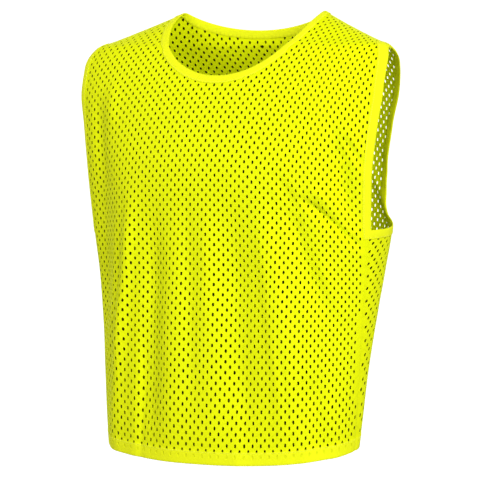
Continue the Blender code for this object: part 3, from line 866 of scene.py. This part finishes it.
def open_edges(triangles):
    """Edges that only one triangle uses, in that triangle's direction."""
    edges = np.concatenate([triangles[:, [0, 1]], triangles[:, [1, 2]], triangles[:, [2, 0]]])
    key = np.sort(edges, axis=1)
    _, first, count = np.unique(key, axis=0, return_index=True, return_counts=True)
    return edges[first[count == 1]]


def open_holes(flat, holes):
    """The holes that go right through: those beside the back of the armholes."""
    if flat.panel == "front":
        return np.zeros(len(holes), bool)
    _, height = flat.lift_off(holes[:, 0], np.maximum(holes[:, 1], flat.hem_path))
    arm_angle, arm_height = armhole_loop(0.0)
    up_back = arm_angle > math.pi / 2
    edge = across(arm_angle[up_back], arm_height[up_back], "back")
    order = np.argsort(arm_height[up_back])
    heights = np.maximum(height, ARMHOLE_BACK_CORNER)
    beside = np.interp(heights, arm_height[up_back][order], edge[order]) - np.abs(holes[:, 0])
    return (height > UNDERARM - OPEN_BELOW_ARMHOLE) & (beside < OPEN_BESIDE_ARMHOLE)


def placed(name, mesh, materials):
    """A mesh with its materials as a piece of the scene."""
    for material in materials:
        mesh.materials.append(material)
    piece = bpy.data.objects.new(name, mesh)
    bpy.context.scene.collection.objects.link(piece)
    return piece


def map_panel(mesh, flat, flat_points, faces, wall_rows, owner, holes):
    """Lay two maps on a panel: the knit's own coordinates, and a square with its two sides."""
    pushed = flat_points * RIM_PUSHED_OUT
    in_ring = owner >= 0
    centre = holes[owner[in_ring]]
    pushed[in_ring] = centre + HOLE_DRAWN_IN * (flat_points[in_ring] - centre)
    layer = faces // len(flat_points)
    point = faces % len(flat_points)
    is_wall = np.zeros((len(faces), 1), bool)
    is_wall[wall_rows] = True
    drawn_in = (layer == 2) | (is_wall & (layer == 1))
    place = np.where(drawn_in[..., None], pushed[point], flat_points[point])
    knit_map = mesh.uv_layers.new(name="Knit")
    knit_map.data.foreach_set("uv", flat.knit(place).astype(np.float32).ravel())
    low = flat_points.min(axis=0) - BAKE_MARGIN
    high = flat_points.max(axis=0) + BAKE_MARGIN
    room = np.array((0.5, 1.0)) - 2 * BAKE_GAP
    bake_place = BAKE_GAP + (place - low) / (high - low) * room
    bake_place[..., 0] += np.where((layer == 1) & ~is_wall, 0.5, 0.0)
    bake_map = mesh.uv_layers.new(name="OFBake")
    bake_map.data.foreach_set("uv", bake_place.astype(np.float32).ravel())
    knit_map.active_render = True
    mesh.uv_layers.active = knit_map


def shell(name, flat, materials):
    """A panel as a thin closed shell: outside, inside, and the walls of its holes, with dark ends of
    painted shade in all but the open ones.
    """
    flat_points, triangles, painted_shade_plugs, owner, holes = pierced(flat)
    used = np.unique(triangles)
    renamed = np.full(len(flat_points), -1)
    renamed[used] = np.arange(len(used))
    triangles = renamed[triangles]
    painted_shade_plugs = renamed[painted_shade_plugs]
    flat_points = flat_points[used]
    owner = owner[used]
    points = flat.worn(flat_points[:, 0], flat_points[:, 1])
    normals = normals_of(points, triangles)
    angle, height = flat.lift_off(flat_points[:, 0], np.maximum(flat_points[:, 1], flat.hem_path))
    facing = np.einsum("ij,ij->i", normals, outward(angle, height))
    upper = flat_points[:, 1] > flat.hem_path + 0.01
    if facing[upper].mean() < 0:
        triangles = triangles[:, ::-1]
        painted_shade_plugs = painted_shade_plugs[:, ::-1]
        normals = -normals
    # Every hole but the open ones keeps an end of painted shade: a dark sheet where the real knit has
    # only shade
    through = open_holes(flat, holes)
    painted_shade_plugs = painted_shade_plugs[~through[owner[painted_shade_plugs[:, 0]]]]
    layers = (
        points + normals * KNIT_WALL / 2,
        points - normals * KNIT_WALL / 2,
        points + normals * (KNIT_WALL / 2 - SHADE_PLUG_DEPTH),
    )
    count = len(points)
    rim = open_edges(triangles)
    # Walls of holes with an end of painted shade stop at it; walls of open holes go right through
    blind = (owner[rim[:, 0]] >= 0) & (owner[rim[:, 0]] == owner[rim[:, 1]])
    blind &= ~through[np.maximum(owner[rim[:, 0]], 0)]
    below = np.where(blind, 2 * count, count)
    walls = np.concatenate([
        np.stack([rim[:, 1], rim[:, 0], rim[:, 0] + below], -1),
        np.stack([rim[:, 1], rim[:, 0] + below, rim[:, 1] + below], -1),
    ])
    doubled = flat_points[triangles][:, :, 1].mean(axis=1) < flat.hem_path + HEM_DEPTH
    # Holes over the hem get olive ends of painted shade, the others near-black ones
    over_hem = holes[:, 1] < flat.hem_path + HEM_DEPTH
    shade_slots = np.where(over_hem[owner[painted_shade_plugs[:, 0]]], 3, 2)
    parts = (
        (triangles, np.zeros(len(triangles))),
        (triangles[:, ::-1] + count, np.where(doubled, 0, 1)),
        (walls, np.zeros(len(walls))),
        (painted_shade_plugs[:, ::-1] + count, shade_slots),
        (painted_shade_plugs + 2 * count, shade_slots),
    )
    faces = np.concatenate([part for part, _ in parts])
    slots = np.concatenate([slot for _, slot in parts]).astype(np.int32)
    used, compact = np.unique(faces, return_inverse=True)
    mesh = bpy.data.meshes.new(name)
    mesh.from_pydata(np.concatenate(layers)[used].tolist(), [], compact.reshape(-1, 3).tolist())
    mesh.polygons.foreach_set("material_index", slots)
    mesh.shade_smooth()
    mesh.set_sharp_from_angle(angle=PANEL_SHARP_ANGLE)
    wall_rows = slice(2 * len(triangles), 2 * len(triangles) + len(walls))
    map_panel(mesh, flat, flat_points, faces, wall_rows, owner, holes)
    return placed(name, mesh, materials)


def swept(name, corners, line_at, material, closed, length):
    """A strip whose section has a corner on each of several long lines; line_at(k) gives the k-th."""
    lines = np.array([line_at(k) for k in range(corners)])
    stations = lines.shape[1]
    faces = []
    places = []
    around_share = np.linspace(0, 1, corners + 1)
    along_share = np.linspace(0, 1, stations + (1 if closed else 0))
    last = stations if closed else stations - 1
    for k in range(corners):
        k2 = (k + 1) % corners
        for i in range(last):
            i2 = (i + 1) % stations
            faces.append((k * stations + i, k * stations + i2, k2 * stations + i2, k2 * stations + i))
            u0, u1 = along_share[i], along_share[i + 1]
            v0, v1 = around_share[k], around_share[k + 1]
            places += [(u0, v0), (u1, v0), (u1, v1), (u0, v1)]
    if not closed:
        for i, flip in ((0, True), (stations - 1, False)):
            cap = [k * stations + i for k in range(corners)]
            faces.append(tuple(cap[::-1] if flip else cap))
            places += [(0.001 * k, 0.001 * i) for k in range(corners)]
    mesh = bpy.data.meshes.new(name)
    mesh.from_pydata(lines.reshape(-1, 3).tolist(), [], faces)
    mesh.shade_smooth()
    mesh.set_sharp_from_angle(angle=STRIP_SHARP_ANGLE)
    places = np.array(places, np.float32)
    knit_map = mesh.uv_layers.new(name="Knit")
    knit_map.data.foreach_set("uv", (places * np.array([length, STRIP_ROUND], np.float32)).ravel())
    return placed(name, mesh, (material,))


# The folded binding in section: how far from the edge, as a share of its width, and how far out
BINDING_SECTION = (
    (1.00, 0.86), (0.97, 1.00), (0.70, 1.00), (0.40, 1.02), (0.14, 1.00), (0.03, 0.80),
    (-0.05, 0.34), (-0.05, -0.34), (0.03, -0.80), (0.14, -1.00), (0.40, -1.02), (0.70, -1.00),
    (0.97, -1.00), (1.00, -0.86), (0.99, -0.50), (0.70, -0.48), (0.40, -0.48), (0.12, -0.42),
    (0.07, 0.0), (0.12, 0.42), (0.40, 0.48), (0.70, 0.48), (0.99, 0.50),
)


def loop_point(loops, index, share, sign, out):
    """Points on a strip between an opening's edge and the loop a binding's width from it."""
    (edge_angle, edge_height), (far_angle, far_height) = loops
    turn = (far_angle - edge_angle + math.pi) % (2 * math.pi) - math.pi
    angle = sign * (edge_angle + turn * share)
    height = np.minimum(edge_height + (far_height - edge_height) * share, FORM_TOP)
    return cloth(angle[index], height[index], out)


def binding(name, loops, sign, material):
    """A folded strip of knit round an opening, its two limbs either side of the panels."""
    index = np.arange(LOOP_STEPS)

    def line_at(k):
        share, out = BINDING_SECTION[k]
        return loop_point(loops, index, share, sign, np.full(LOOP_STEPS, out * BINDING_FACE))

    middle = loop_point(loops, index, 0.5, sign, np.zeros(LOOP_STEPS))
    length = run_along(middle)[-1]
    return swept(name, len(BINDING_SECTION), line_at, material, True, length)


def run_along(points):
    """The distance run from the first of a line's points to each."""
    return np.append(0.0, np.cumsum(np.linalg.norm(np.diff(points, axis=0), axis=1)))


def ribbon(name, line, low, high, material):
    """A flat strip of cloth between two sides: line(side, out) gives the points of a long edge."""
    corners = ((low, LAP_OUTER), (high, LAP_OUTER), (high, LAP_INNER), (low, LAP_INNER))
    lines = [line(side, out) for side, out in corners]
    return swept(name, 4, lambda k: lines[k], material, False, run_along(lines[0])[-1])


def side_ribbon(name, sign, material):
    """The seam allowance inside a side seam, pressed towards the back."""
    height = np.linspace(*SIDE_LAP_ENDS, SIDE_STEPS)
    seam = seam_line(height)
    hem_room = np.where(height < HEM + HEM_DEPTH + LAP_HEM_START, -LAP_HEM_ROOM, 0.0)

    def line(turn, out):
        return cloth(sign * (seam + turn), height, out + hem_room)

    low = -SIDE_LAP_FRONT / SIDE_LAP_RADIUS
    return ribbon(name, line, low, SIDE_LAP_BACK / SIDE_LAP_RADIUS, material)


def shoulder_ribbon(name, sign, material):
    """The seam allowance inside a shoulder seam."""
    height = np.linspace(*SHOULDER_LAP_ENDS, SHOULDER_STEPS)
    half_width, middle = section(height)[:2]

    def line(side, out):
        ridge = np.stack([half_width, middle + side, height], -1)
        angle = angle_of(ridge * np.array([SHOULDER_LAP_SHARE, 1.0, 1.0]))
        return cloth(sign * angle, height, np.full(len(height), out))

    return ribbon(name, line, -SHOULDER_LAP, SHOULDER_LAP, material)


def rows_at(values, run, wanted):
    """Rows of three values at wanted distances along a run."""
    return np.stack([np.interp(wanted, run, values[:, k]) for k in range(3)], -1)


def stitches(name, runs, material):
    """Short raised threads laid along lines of points, each with its own outward direction."""
    verts = []
    faces = []
    for points, outs in runs:
        run = run_along(points)
        starts = np.arange(STITCH_PITCH / 2, run[-1] - STITCH_LENGTH, STITCH_PITCH)
        spots = [rows_at(points, run, starts + share * STITCH_LENGTH) for share in (0.0, 0.5, 1.0)]
        out = rows_at(outs, run, starts)
        side = np.cross(unit(spots[2] - spots[0]), out) * STITCH_HALF_WIDTH
        lift = out * STITCH_HALF_WIDTH
        for i in range(len(starts)):
            first = len(verts)
            for spot, rise in zip(spots, STITCH_ARCH):
                centre = spot[i] + lift[i] * rise
                crown = lift[i] * STITCH_CROWN
                verts += [centre + side[i], centre + crown, centre - side[i], centre - crown]
            for ring in (first, first + 4):
                for j in range(4):
                    k = (j + 1) % 4
                    faces.append((ring + j, ring + 4 + j, ring + 4 + k, ring + k))
            faces.append((first, first + 1, first + 2, first + 3))
            faces.append((first + 11, first + 10, first + 9, first + 8))
    mesh = bpy.data.meshes.new(name)
    mesh.from_pydata([tuple(v) for v in verts], [], faces)
    mesh.shade_smooth()
    return placed(name, mesh, (material,))


def outward_run(points_out):
    """A run of stitches: its points, and the way out from the cloth at each."""
    low = points_out(0.0)
    return low, (points_out(OUTWARD_PROBE) - low) / OUTWARD_PROBE


def binding_run(loops, sign):
    """The stitches along a binding, near its inner edge."""
    index = np.append(np.arange(LOOP_STEPS), 0)

    def points_out(extra):
        out = np.full(len(index), BINDING_FACE + extra)
        return loop_point(loops, index, BINDING_STITCH_SHARE, sign, out)

    return outward_run(points_out)


def hem_run(flat):
    """The stitches that hold a panel's hem up."""
    outline = half_outline(flat)
    beside = np.abs(outline[:, 1] - flat.hem_path) < HEM_RUN_REACH
    reach = np.abs(outline[:, 0][beside]).max()
    place = np.linspace(-reach, reach, HEM_RUN_STEPS)
    path = np.full(len(place), flat.hem_path + HEM_DEPTH - HEM_STITCH_BELOW)
    return outward_run(lambda extra: flat.worn(place, path, KNIT_WALL / 2 + extra))


class Nodes:
    """Short ways to add and join shader nodes."""

    def __init__(self, name):
        self.material = bpy.data.materials.new(name)
        self.material.use_nodes = True
        self.tree = self.material.node_tree
        self.shader = self.tree.nodes["Principled BSDF"]

    def surface(self, colour, roughness):
        """Join or set the shader's colour and roughness."""
        self.put(self.shader.inputs["Base Color"], colour)
        self.put(self.shader.inputs["Roughness"], roughness)

    def put(self, socket, value):
        """Join a socket to another, or set its value."""
        if isinstance(value, bpy.types.NodeSocket):
            self.tree.links.new(value, socket)
        elif value is not None:
            socket.default_value = value

    def math(self, operation, a, b=None, c=None):
        node = self.tree.nodes.new("ShaderNodeMath")
        node.operation = operation
        for socket, value in zip(node.inputs, (a, b, c)):
            self.put(socket, value)
        return node.outputs[0]

    def plus(self, a, b):
        return self.math("ADD", a, b)

    def minus(self, a, b):
        return self.math("SUBTRACT", a, b)

    def times(self, a, b):
        return self.math("MULTIPLY", a, b)

    def over(self, a, b):
        return self.math("DIVIDE", a, b)

    def noise(self, vector, scale, detail=3.0):
        node = self.tree.nodes.new("ShaderNodeTexNoise")
        self.put(node.inputs["Vector"], vector)
        node.inputs["Scale"].default_value = scale
        node.inputs["Detail"].default_value = detail
        return node.outputs["Fac"]

    def mix(self, share, a, b):
        node = self.tree.nodes.new("ShaderNodeMix")
        node.data_type = "RGBA"
        self.put(node.inputs["Factor"], share)
        self.put(node.inputs[6], a)
        self.put(node.inputs[7], b)
        return node.outputs[2]

    def flat_place(self):
        """The knit's own map, and its two coordinates: metres of even knit, across and up."""
        uv = self.tree.nodes.new("ShaderNodeUVMap")
        uv.uv_map = "Knit"
        split = self.tree.nodes.new("ShaderNodeSeparateXYZ")
        self.tree.links.new(uv.outputs[0], split.inputs[0])
        return uv.outputs[0], split.outputs[0], split.outputs[1]

    def waves(self, across_wales, across_courses):
        """The knit's own fine loops: wales one way, courses the other."""
        wales = self.math("SINE", self.times(across_wales, 2 * math.pi / WALE_PITCH))
        courses = self.math("SINE", self.times(across_courses, 2 * math.pi / COURSE_PITCH))
        return self.times(wales, courses)

    def bump(self, height, strength, distance):
        node = self.tree.nodes.new("ShaderNodeBump")
        node.inputs["Strength"].default_value = strength
        node.inputs["Distance"].default_value = distance
        self.put(node.inputs["Height"], height)
        self.tree.links.new(node.outputs[0], self.shader.inputs["Normal"])


def knit_material(name, light, dark, line_share, roughness):
    """Warp-knit cloth: fine wales, faint slanting lines between the holes, a plainer doubled hem drawn
    lighter as painted light.
    """
    made = Nodes(name)
    uv, place, path = made.flat_place()
    in_hem = made.math("LESS_THAN", path, HEM_TOP_ROW)
    above_hem = made.minus(1.0, in_hem)
    to_left = made.math("MULTIPLY_ADD", place, LINE_CHANGE, 0.5)
    to_left.node.use_clamp = True
    up = made.over(path, HOLE_REPEAT)
    aside = made.over(place, 2 * HOLE_PITCH)
    total = None
    for operation in ("ADD", "SUBTRACT"):
        slant = made.plus(made.math(operation, up, aside), LINE_PHASE)
        near = made.over(made.math("PINGPONG", slant, 0.5), LINE_WIDTH)
        near = made.times(made.times(near, near), -1.0)
        weight = to_left if operation == "SUBTRACT" else made.minus(1.0, to_left)
        line = made.times(made.times(weight, above_hem), made.math("EXPONENT", near))
        total = line if total is None else made.math("MAXIMUM", total, line)
    uneven = made.noise(uv, PATCH_SCALE)
    grain = made.noise(uv, GRAIN_SCALE, 2.0)
    shade = made.times(total, line_share)
    shade = made.plus(shade, made.times(made.minus(uneven, 0.5), 0.10))
    shade = made.plus(shade, made.times(made.minus(grain, 0.5), 0.14))
    shade = made.math("MAXIMUM", shade, 0.0)
    # Painted light: the doubled hem is drawn lighter than the same cloth elsewhere
    painted_hem_light = made.times(in_hem, HEM_PAINTED_LIGHT)
    cloth_light = made.mix(painted_hem_light, (*light, 1.0), (*BINDING_LIGHT, 1.0))
    colour = made.mix(shade, cloth_light, (*dark, 1.0))
    made.surface(colour, made.math("MULTIPLY_ADD", uneven, 0.10, roughness))
    loops = made.waves(place, path)
    made.bump(made.plus(made.times(loops, 0.5), made.times(total, -0.8)), 0.35, 0.00025)
    made.shader.inputs["Specular IOR Level"].default_value = CLOTH_SPECULAR
    return made.material


def binding_material(name, light, dark):
    """Folded knit: ribs along its length and faint marks where holes lie under a second layer, their
    darkness painted shade.
    """
    made = Nodes(name)
    uv, place, path = made.flat_place()
    # Marks at the holes under the second layer, darkened towards the dark colour as painted shade
    off_along = made.math("PINGPONG", made.over(place, HOLE_PITCH / 2), 0.5)
    off_up = made.math("PINGPONG", made.over(path, MARK_ROW_PITCH), 0.5)
    along = made.math("POWER", made.over(off_along, MARK_HALF_WIDTH), 2.0)
    up = made.math("POWER", made.over(off_up, MARK_HALF_HEIGHT), 2.0)
    spot = made.math("LESS_THAN", made.plus(along, up), 1.0)
    patchy = made.noise(uv, BINDING_PATCH_SCALE)
    spot = made.times(spot, made.times(patchy, 0.30))
    grain = made.noise(uv, GRAIN_SCALE, 2.0)
    shade = made.plus(spot, made.times(made.minus(grain, 0.5), 0.12))
    shade = made.math("MAXIMUM", shade, 0.0)
    colour = made.mix(shade, (*light, 1.0), (*dark, 1.0))
    made.surface(colour, made.plus(0.70, made.times(patchy, 0.10)))
    made.bump(made.waves(path, place), 0.35, 0.0003)
    made.shader.inputs["Specular IOR Level"].default_value = CLOTH_SPECULAR
    return made.material


def thread_material(name, colour):
    """Twisted sewing thread."""
    made = Nodes(name)
    place = made.tree.nodes.new("ShaderNodeTexCoord").outputs["Object"]
    twist = made.noise(place, TWIST_SCALE, 1.0)
    darker = tuple(c * 0.8 for c in colour)
    twisted = made.mix(twist, (*colour, 1.0), (*darker, 1.0))
    made.surface(twisted, made.plus(0.5, made.times(twist, 0.2)))
    made.bump(twist, 0.4, 0.0001)
    return made.material


front_flat = Flat("front")
back_flat = Flat("back")
HEM_TOP_ROW = float(front_flat.knit(np.array((0.0, front_flat.hem_path + HEM_DEPTH)))[1])

outside_knit = knit_material("mesh_outside", LIGHT, DARK, 0.12, 0.70)
inside_knit = knit_material("mesh_inside", LIGHT, DARK, 0.12, 0.80)
# Materials of painted shade for the holes' ends
painted_hole_shade = knit_material("hole_painted_shade", HOLE_SHADE_LIGHT, HOLE_SHADE_DARK, 0.5, 0.90)
# Olive ends of painted shade for the holes over the doubled hem
painted_hem_hole_shade = knit_material("hem_hole_painted_shade", HEM_HOLE_SHADE_LIGHT, HEM_HOLE_SHADE_DARK, 0.0, 0.90)
band_knit = binding_material("binding_cloth", BINDING_LIGHT, BINDING_DARK)
seam_knit = binding_material("seam_allowance", LIGHT, BINDING_DARK)
thread = thread_material("sewing_thread", THREAD_COLOUR)

knits = (outside_knit, inside_knit, painted_hole_shade, painted_hem_hole_shade)
front_mesh = shell("front_mesh", front_flat, knits)
back_mesh = shell("back_mesh", back_flat, knits)

neck_edges = (neck_loop(0.0), neck_loop(BINDING_WIDTH))
arm_edges = (armhole_loop(0.0), armhole_loop(BINDING_WIDTH))
neck_band = binding("neck_band", neck_edges, 1, band_knit)
arm_band_left = binding("armhole_band_left", arm_edges, 1, band_knit)
arm_band_right = binding("armhole_band_right", arm_edges, -1, band_knit)

side_left = side_ribbon("side_seam_left", 1, seam_knit)
side_right = side_ribbon("side_seam_right", -1, seam_knit)
shoulder_left = shoulder_ribbon("shoulder_seam_left", 1, seam_knit)
shoulder_right = shoulder_ribbon("shoulder_seam_right", -1, seam_knit)

runs = [binding_run(neck_edges, 1), binding_run(arm_edges, 1), binding_run(arm_edges, -1)]
runs += [hem_run(front_flat), hem_run(back_flat)]
stitching = stitches("stitching", runs, thread)
sewn = [side_left, side_right, shoulder_left, shoulder_right, stitching]

for piece, node in (
    (front_mesh, "front_panel"),
    (back_mesh, "back_panel"),
    (neck_band, "neck_binding"),
    (arm_band_left, "armhole_binding_left"),
    (arm_band_right, "armhole_binding_right"),
):
    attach(piece, "root")
    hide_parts(node)
for piece in sewn:
    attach(piece, "root")


def flat_size(flat):
    """A panel's width and height laid flat, and its area."""
    outline = whole_outline(flat)
    size = outline.max(axis=0) - outline.min(axis=0)
    following = np.roll(outline, -1, axis=0)
    area = abs(np.sum(outline[:, 0] * following[:, 1] - following[:, 0] * outline[:, 1])) / 2
    return size, area


def strip_size(loops):
    """Length and width of a binding's strip before it is folded over an opening's edge."""
    index = np.append(np.arange(LOOP_STEPS), 0)
    middle = loop_point(loops, index, 0.5, 1, np.zeros(len(index)))
    return run_along(middle)[-1], 2 * BINDING_WIDTH + 2 * BINDING_FACE


front_size, front_area = flat_size(front_flat)
back_size, back_area = flat_size(back_flat)
strip_size(neck_edges)
strip_size(arm_edges)
strip_size(arm_edges)


def stage_backdrop():
    """A round pale floor that curves up into a wall all round the object."""
    profile = [(0.5, FLOOR_HEIGHT), (BACKDROP_RADIUS - BACKDROP_BEND, FLOOR_HEIGHT)]
    for turn in np.linspace(0.0, math.pi / 2, BACKDROP_BEND_STEPS + 1)[1:]:
        inward = BACKDROP_BEND * (1 - math.sin(turn))
        profile.append((BACKDROP_RADIUS - inward, FLOOR_HEIGHT + BACKDROP_BEND * (1 - math.cos(turn))))
    profile.append((BACKDROP_RADIUS, BACKDROP_TOP))
    turns = np.linspace(0.0, 2 * math.pi, BACKDROP_SIDES + 1)[:-1]
    verts = [
        (radius * math.cos(turn), radius * math.sin(turn), height)
        for radius, height in profile
        for turn in turns
    ]
    faces = [tuple(range(BACKDROP_SIDES))]
    for ring in range(len(profile) - 1):
        first = ring * BACKDROP_SIDES
        for i in range(BACKDROP_SIDES):
            j = (i + 1) % BACKDROP_SIDES
            faces.append((first + i, first + j, first + BACKDROP_SIDES + j, first + BACKDROP_SIDES + i))
    mesh = bpy.data.meshes.new("backdrop")
    mesh.from_pydata(verts, [], faces)
    mesh.shade_smooth()
    made = Nodes("backdrop_paper")
    made.surface((0.93, 0.93, 0.93, 1.0), 0.9)
    made.shader.inputs["Emission Color"].default_value = (1.0, 1.0, 1.0, 1.0)
    made.shader.inputs["Emission Strength"].default_value = 0.85
    piece = placed("backdrop", mesh, (made.material,))
    piece.visible_diffuse = False
    piece.visible_shadow = False
    return piece


backdrop = stage_backdrop()


def area_light(name, location, size, power):
    """A soft square light that faces the middle of the garment."""
    lamp = bpy.data.lights.new(name, "AREA")
    lamp.shape = "SQUARE"
    lamp.size = size
    lamp.energy = power
    item = bpy.data.objects.new(name, lamp)
    item.location = location
    aim = Vector(LIGHT_AIM) - Vector(location)
    item.rotation_euler = aim.to_track_quat("-Z", "Y").to_euler()
    bpy.context.scene.collection.objects.link(item)


for light in LIGHTS:
    area_light(*light)

world = bpy.data.worlds.new("studio")
world.use_nodes = True
world.node_tree.nodes["Background"].inputs["Color"].default_value = (1.0, 1.0, 1.0, 1.0)
world.node_tree.nodes["Background"].inputs["Strength"].default_value = WORLD_LIGHT
bpy.context.scene.world = world
bpy.context.scene.view_settings.view_transform = "Standard"

camera_data = bpy.data.cameras.new("camera")
camera_data.sensor_width = 36.0
camera_data.lens = CAMERA_LENS
camera_data.clip_end = 60.0
camera = bpy.data.objects.new("camera", camera_data)
camera.location = CAMERA_PLACE
aim = Vector(CAMERA_AIM) - camera.location
camera.rotation_euler = aim.to_track_quat("-Z", "Y").to_euler()
bpy.context.scene.collection.objects.link(camera)
bpy.context.scene.camera = camera
